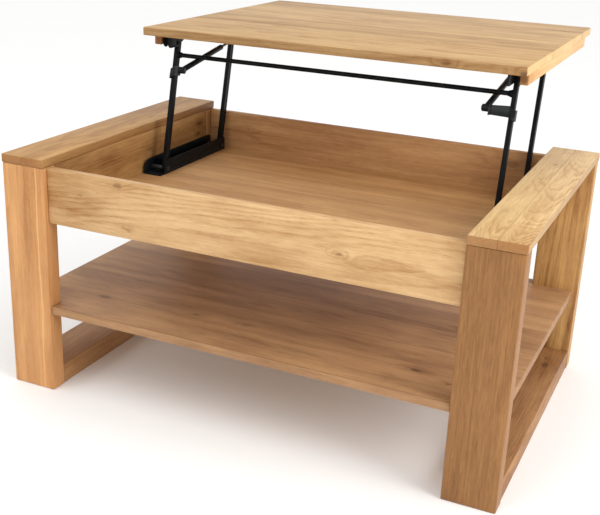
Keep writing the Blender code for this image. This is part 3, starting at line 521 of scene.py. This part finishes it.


# every board: its grain direction, its two tones, how lively its figure is, and its knots and
# marks of painted shade, each as x, y from the frame's middle, z, radius in metres, and how dark
# it is;
# a butt joint or a vein at 9 metres lies off the board, so there is none
plainBoard = {
    "grain": "X", "pale": (222, 180, 130), "deep": (172, 122, 74),
    "stave": 2.0, "staveShift": 0.5, "tone": 0.0,
    "ring": 0.0055, "ringStrength": 0.3, "swirl": 0.02,
    "streaks": 0.5, "fibres": 0.9, "mottle": 0.35,
    "endTone": 0.45, "endColour": (122, 76, 38),
    "butt": 9.0, "vein": 9.0, "knotsAndShadeMarks": (), "arris": 0.0022,
}
boards = {
    "lift_top": {
        "seed": 2.3, "pale": (206, 168, 112), "deep": (150, 107, 58),
        "stave": 0.1167, "staveShift": 0.0, "tone": 0.26,
        # its pale end colour is partly blond end grain and partly painted light on the ends lit
        # from the right
        "endTone": 0.4, "endColour": (246, 212, 152),
        "knotsAndShadeMarks": (
            (0.27, 0.011, 0.731, 0.006, 0.6),
            (0.427, 0.012, 0.727, 0.007, 0.8),
            (0.17, 0.21, 0.74, 0.004, 0.3),
        ),
    },
    "front_apron": {
        "seed": 5.1, "pale": (224, 187, 137), "deep": (170, 125, 75),
        "ring": 0.007, "streaks": 0.35, "fibres": 0.7, "mottle": 0.55,
        "knotsAndShadeMarks": (
            (-0.355, -0.341, 0.453, 0.004, 0.45),
            (-0.265, -0.341, 0.486, 0.006, 0.5),
            (-0.245, -0.341, 0.400, 0.004, 0.4),
            (0.205, -0.341, 0.433, 0.004, 0.7),
            (-0.53, -0.341, 0.44, 0.05, 0.6),
        ),
    },
    "rear_apron": {
        "seed": 7.9, "pale": (206, 162, 112), "deep": (158, 110, 68),
        "knotsAndShadeMarks": ((0.355, 0.333, 0.465, 0.012, 0.5),),
    },
    "cap_board_left": {
        "seed": 1.2, "grain": "Y", "pale": (198, 154, 95), "deep": (146, 102, 56),
        "stave": 0.052, "staveShift": 0.0, "tone": 0.10,
        "endTone": 0.6, "endColour": (142, 86, 40),
    },
    "cap_board_right": {
        "seed": 4.4, "grain": "Y", "pale": (230, 198, 144), "deep": (180, 138, 86),
        "stave": 0.052, "staveShift": 0.0, "tone": 0.08,
        "ring": 0.004, "ringStrength": 0.45, "swirl": 0.05,
        "endTone": 0.7, "endColour": (142, 86, 40),
        "knotsAndShadeMarks": (
            (0.474, 0.19, 0.515, 0.007, 0.4),
            (0.46, -0.185, 0.515, 0.008, 0.25),
            (0.49, -0.425, 0.505, 0.035, 0.9),
        ),
    },
    "leg_front_left": {
        "seed": 3.6, "grain": "Z", "pale": (222, 166, 108), "deep": (178, 124, 74),
        # the vein sits so that the darkening beyond it covers the leg's inner side face: painted
        # shade
        "streaks": 0.55, "mottle": 0.3, "vein": -0.030,
    },
    "leg_front_right": {
        "seed": 6.3, "grain": "Z", "pale": (158, 111, 64), "deep": (116, 76, 40),
        "ringStrength": 0.15, "streaks": 0.35, "fibres": 1.6, "mottle": 0.25,
    },
    "leg_rear_left": {
        "seed": 8.2, "grain": "Z", "pale": (196, 148, 96), "deep": (154, 108, 64),
    },
    "leg_rear_right": {
        "seed": 9.5, "grain": "Z", "pale": (222, 178, 112), "deep": (150, 104, 58),
        "ring": 0.012, "streaks": 0.8,
    },
    "floor_rail_left": {
        "seed": 2.9, "grain": "Y", "pale": (188, 142, 94), "deep": (140, 96, 56),
    },
    "floor_rail_right": {
        "seed": 3.7, "grain": "Y", "pale": (190, 142, 92), "deep": (136, 92, 54), "mottle": 0.6,
        "knotsAndShadeMarks": ((0.505, 0.215, 0.044, 0.010, 0.8), (0.50, 0.25, 0.044, 0.006, 0.6)),
    },
    "side_panel_left": {
        "seed": 5.8, "grain": "Y", "pale": (184, 142, 88), "deep": (130, 90, 48),
        # its front part, before the butt joint, is darkened as painted shade
        "ringStrength": 0.2, "mottle": 0.6, "butt": 0.09,
        "knotsAndShadeMarks": (
            # these two marks, stacked near the rear end, darken the panel beside its rear corner
            (-0.436, 0.27, 0.445, 0.004, 0.9),
            (-0.436, 0.275, 0.470, 0.005, 0.9),
            (-0.436, 0.04, 0.455, 0.007, 0.4),
        ),
    },
    "side_panel_right": {
        "seed": 6.9, "grain": "Y", "pale": (200, 150, 96), "deep": (150, 102, 58),
    },
    "box_floor": {
        "seed": 1.7, "pale": (212, 168, 116), "deep": (164, 119, 74),
        "stave": 0.11, "tone": 0.10, "ringStrength": 0.15,
    },
    "lower_shelf": {
        "seed": 4.9, "pale": (199, 156, 110), "deep": (145, 106, 73),
        "stave": 0.098, "tone": 0.24, "ringStrength": 0.12,
        "streaks": 0.45, "fibres": 0.7, "mottle": 0.5,
        "knotsAndShadeMarks": (
            (-0.37, -0.245, 0.195, 0.009, 0.6),
            (-0.15, -0.23, 0.195, 0.006, 0.6),
            (-0.035, -0.225, 0.195, 0.005, 0.5),
            (0.34, -0.25, 0.195, 0.006, 0.9),
            (0.41, -0.275, 0.195, 0.004, 0.7),
            (0.36, -0.02, 0.195, 0.014, 0.4),
        ),
    },
    "top_cleat_left": {
        "seed": 0.6, "grain": "Y", "pale": (190, 138, 88), "deep": (140, 94, 54),
    },
    "top_cleat_right": {
        # its pale tones are partly its own wood and partly painted light from the right
        "seed": 0.9, "grain": "Y", "pale": (236, 194, 134), "deep": (196, 148, 94),
        # this dark mark over the cleat's front end is painted shade, not a knot
        "knotsAndShadeMarks": ((0.415, 0.053, 0.709, 0.011, 0.9),),
    },
}

# rolling over edges: distances in metres, angles in degrees
softening = {
    "steps": 3, "boardSmooth": 40, "merge": 0.00002, "flat": 1, "cleanUp": 0.00001,
    "notchSharp": 60, "steelSharp": 40, "copySmooth": 35,
}


def softenedBoard(name, arris):
    low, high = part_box(name)
    deselectAll()
    bpy.ops.mesh.primitive_cube_add(size=1, location=(low + high) / 2)
    board = bpy.context.object
    board.name = name + "_board"
    board.scale = high - low
    bpy.ops.object.transform_apply(location=True, rotation=True, scale=True)
    bpy.ops.object.mode_set(mode="EDIT")
    bpy.ops.mesh.select_all(action="SELECT")
    bpy.ops.mesh.bevel(offset=arris, segments=softening["steps"], profile=0.5, affect="EDGES")
    bpy.ops.object.mode_set(mode="OBJECT")
    bpy.ops.object.shade_smooth_by_angle(angle=math.radians(softening["boardSmooth"]))
    return board


def softenedCopy(name, rename, offset, steps, sharp):
    # a copy of a CAD node with its doubles merged and its sharp edges rolled over
    deselectAll()
    piece = nodes[name].copy()
    piece.data = nodes[name].data.copy()
    bpy.context.scene.collection.objects.link(piece)
    piece.parent = None
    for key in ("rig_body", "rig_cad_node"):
        if key in piece:
            del piece[key]
    piece.name = rename
    pick(piece)
    bpy.ops.object.mode_set(mode="EDIT")
    bpy.ops.mesh.select_all(action="SELECT")
    bpy.ops.mesh.remove_doubles(threshold=softening["merge"])
    bpy.ops.mesh.dissolve_limited(angle_limit=math.radians(softening["flat"]))
    bpy.ops.mesh.select_all(action="DESELECT")
    bpy.ops.mesh.select_mode(type="EDGE")
    bpy.ops.mesh.edges_select_sharp(sharpness=math.radians(sharp))
    bpy.ops.mesh.bevel(
        offset=offset, segments=steps, profile=0.5, affect="EDGES", clamp_overlap=True
    )
    bpy.ops.mesh.select_all(action="SELECT")
    bpy.ops.mesh.remove_doubles(threshold=softening["cleanUp"])
    bpy.ops.mesh.select_mode(type="VERT")
    bpy.ops.object.mode_set(mode="OBJECT")
    bpy.ops.object.shade_smooth_by_angle(angle=math.radians(softening["copySmooth"]))
    return piece


def coverNode(piece, name):
    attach(piece, nodes[name]["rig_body"])
    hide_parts(name)


def setMaterial(piece, material):
    piece.data.materials.clear()
    piece.data.materials.append(material)


def dressBoards():
    for name, own in boards.items():
        values = {**plainBoard, **own}
        low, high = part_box(name)
        material = oakMaterial(name + "_oak", values, (low + high) / 2)
        if name == "box_floor":  # its screw holes stay as they are
            setMaterial(nodes[name], material)
            continue
        if name == "lower_shelf":  # a box would fill its notches
            board = softenedCopy(
                name, name + "_board", values["arris"], softening["steps"], softening["notchSharp"]
            )
        else:
            board = softenedBoard(name, values["arris"])
        setMaterial(board, material)
        coverNode(board, name)


dressBoards()
print("boards dressed:", len(boards))


# the strap is narrowed where it clasps the arm and again along its tail, up to the strut's pin
strapTail = {
    "bendAt": 0.391, "clasp": 0.74, "bend": 0.76, "earAt": 0.372, "ear": 0.84, "holeRoom": 0.0045,
}


def selectWhere(piece, wanted):
    bpy.ops.object.mode_set(mode="EDIT")
    bpy.ops.mesh.select_mode(type="VERT")
    bpy.ops.mesh.select_all(action="DESELECT")
    bpy.ops.object.mode_set(mode="OBJECT")
    for vertex in piece.data.vertices:
        vertex.select = wanted(vertex.co)
    bpy.ops.object.mode_set(mode="EDIT")


def narrow(piece, wanted, share, centre):
    pick(piece)
    selectWhere(piece, wanted)
    bpy.ops.transform.resize(value=(1, 1, share), center_override=centre)
    bpy.ops.object.mode_set(mode="OBJECT")


def narrowStrap(piece, side):
    low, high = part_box("strut_lower_pin_" + side)
    pin = (low + high) / 2
    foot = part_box("strut_strap_" + side)[0]
    narrow(piece, lambda p: abs(p.x) >= strapTail["bendAt"], strapTail["clasp"], foot)
    for edge, share in (("bendAt", "bend"), ("earAt", "ear")):
        # the pin's hole keeps its shape
        narrow(
            piece,
            lambda p: abs(p.x) < strapTail[edge]
            and math.hypot(p.y - pin.y, p.z - pin.z) > strapTail["holeRoom"],
            strapTail[share], pin,
        )


# the crossbar's ends are welded to the arms with a sloping bead
weldBead = {
    "root": 0.0082, "toe": 0.0054, "length": 0.009, "inset": 0.0004, "sides": 32,
    "roll": 0.0008, "steps": 2,
}


def weldCrossbar(bar, material):
    low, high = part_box("crossbar")
    middle = (low + high) / 2
    reach = high.x - weldBead["inset"] - weldBead["length"] / 2
    beads = []
    for sign in sides.values():
        deselectAll()
        bpy.ops.mesh.primitive_cone_add(
            vertices=weldBead["sides"], radius1=weldBead["root"], radius2=weldBead["toe"],
            depth=weldBead["length"], location=(sign * reach, middle.y, middle.z),
            rotation=(0, -sign * math.pi / 2, 0),
        )
        bead = bpy.context.object
        bead.data.materials.append(material)
        bpy.ops.object.transform_apply(location=True, rotation=True, scale=True)
        bpy.ops.object.mode_set(mode="EDIT")
        bpy.ops.mesh.select_all(action="SELECT")
        bpy.ops.mesh.bevel(offset=weldBead["roll"], segments=weldBead["steps"], affect="EDGES")
        bpy.ops.object.mode_set(mode="OBJECT")
        beads.append(bead)
    pick(bar)
    for bead in beads:
        bead.select_set(True)
    bpy.ops.object.join()
    bpy.ops.object.shade_smooth_by_angle(angle=math.radians(softening["copySmooth"]))


# the screws' heads take a crosshead driver
crossRecess = {"length": 0.0044, "width": 0.0009, "depth": 0.0012}


def cutRecess(piece, name, headUp):
    low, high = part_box(name)
    middle = (low + high) / 2
    face = high.z if headUp else low.z
    for turn in (0, math.pi / 2):
        deselectAll()
        bpy.ops.mesh.primitive_cube_add(size=1, location=(middle.x, middle.y, face))
        cutter = bpy.context.object
        cutter.scale = (crossRecess["length"], crossRecess["width"], 2 * crossRecess["depth"])
        cutter.rotation_euler = (0, 0, turn)
        bpy.ops.object.transform_apply(location=True, rotation=True, scale=True)
        pick(piece)
        cut = piece.modifiers.new("recess", "BOOLEAN")
        cut.operation = "DIFFERENCE"
        cut.solver = "EXACT"
        cut.object = cutter
        bpy.ops.object.modifier_apply(modifier="recess")
        bpy.data.objects.remove(cutter, do_unlink=True)


# steel parts: how far each edge is rolled over, in how many steps, and the finish
steelParts = {
    "base_channel": (0.0009, 2, "blackPowderCoat"),
    "top_bracket": (0.0007, 2, "blackPowderCoat"),
    "strut_strap": (0.0008, 2, "rubbedPowderCoat"),
    "front_arm": (0.0014, 3, "blackPowderCoat"),
    "rear_arm": (0.0014, 3, "blackPowderCoat"),
    "crossbar": (0.0008, 2, "blackPowderCoat"),
    "strut_cylinder": (0.0006, 2, "blackPowderCoat"),
    "strut_rod": (0.0004, 2, "polishedRod"),
    "front_base_pin": (0.0008, 3, "blackenedZinc"),
    "rear_base_pin": (0.0008, 3, "blackenedZinc"),
    "front_top_pin": (0.0008, 3, "blackenedZinc"),
    "rear_top_pin": (0.0008, 3, "blackenedZinc"),
    "strut_lower_pin": (0.0008, 3, "blackenedZinc"),
    "strut_upper_stud": (0.0006, 2, "blackenedZinc"),
    "base_screw": (0.0003, 2, "blackenedZinc"),
    "bracket_screw": (0.0003, 2, "blackenedZinc"),
}


def dressSteel():
    materials = {name: coatMaterial(name, values) for name, values in finishes.items()}
    for name in list(nodes):
        for kind, (roll, steps, finish) in steelParts.items():
            if not name.startswith(kind):
                continue
            piece = softenedCopy(name, name + "_steel", roll, steps, softening["steelSharp"])
            setMaterial(piece, materials[finish])
            if kind == "strut_strap":
                narrowStrap(piece, name.rsplit("_", 1)[1])
            if kind == "crossbar":
                weldCrossbar(piece, materials[finish])
            if kind in ("base_screw", "bracket_screw"):
                cutRecess(piece, name, kind == "base_screw")
            coverNode(piece, name)


dressSteel()
print("steel dressed")


# the floor, the sky and the two lamps
studio = {
    "floorColour": (250, 250, 249), "floorSize": 30, "floorDrop": 0.0005, "floorRoughness": 0.9,
    "sky": 1.0, "aim": (0, -0.2, 0.4),
    "lamps": {
        "keyLight": {"place": (-1.2, -2.6, 3.0), "size": 2.4, "power": 26.0},
        "sideLight": {"place": (3.0, -0.9, 1.9), "size": 1.8, "power": 64.0},
    },
}


def setStudio():
    deselectAll()
    drop = -studio["floorDrop"]
    bpy.ops.mesh.primitive_plane_add(size=studio["floorSize"], location=(0, 0, drop))
    ground = bpy.context.object
    ground.name = "studioFloor"
    material = bpy.data.materials.new("paleFloor")
    material.use_nodes = True
    shader = material.node_tree.nodes["Principled BSDF"]
    shader.inputs["Base Color"].default_value = linear(*studio["floorColour"])
    shader.inputs["Roughness"].default_value = studio["floorRoughness"]
    ground.data.materials.append(material)
    world = bpy.data.worlds.new("studioSky")
    world.use_nodes = True
    sky = world.node_tree.nodes["Background"]
    sky.inputs["Color"].default_value = (1, 1, 1, 1)
    sky.inputs["Strength"].default_value = studio["sky"]
    bpy.context.scene.world = world
    for name, values in studio["lamps"].items():
        bpy.ops.object.light_add(type="AREA", location=values["place"])
        lamp = bpy.context.object
        lamp.name = name
        lamp.data.size = values["size"]
        lamp.data.energy = values["power"]
        toAim = Vector(studio["aim"]) - Vector(values["place"])
        lamp.rotation_euler = toAim.to_track_quat("-Z", "Y").to_euler()
    bpy.context.scene.view_settings.view_transform = "Standard"  # plain colours


# the camera's place has its y from the frame's middle; it looks down by its tilt, in radians
mainView = {
    "place": (0.826, -1.9222, 1.0539), "yaw": 0.4305, "tilt": 0.3553, "roll": 0.0366,
    "sensor": 36, "lens": 60.64, "shift": (0.0253, -0.0015), "clipStart": 0.05,
}


def setCamera():
    deselectAll()
    bpy.ops.object.camera_add()
    camera = bpy.context.object
    camera.name = "mainCamera"
    x, y, z = mainView["place"]
    yaw = Matrix.Rotation(mainView["yaw"], 4, "Z")
    tilt = Matrix.Rotation(math.pi / 2 - mainView["tilt"], 4, "X")
    roll = Matrix.Rotation(mainView["roll"], 4, "Z")
    camera.matrix_world = Matrix.Translation((x, frameY + y, z)) @ yaw @ tilt @ roll
    camera.data.sensor_width = mainView["sensor"]
    camera.data.lens = mainView["lens"]
    camera.data.shift_x, camera.data.shift_y = mainView["shift"]
    camera.data.clip_start = mainView["clipStart"]
    bpy.context.scene.camera = camera


setStudio()
setCamera()
print("studio and camera set")
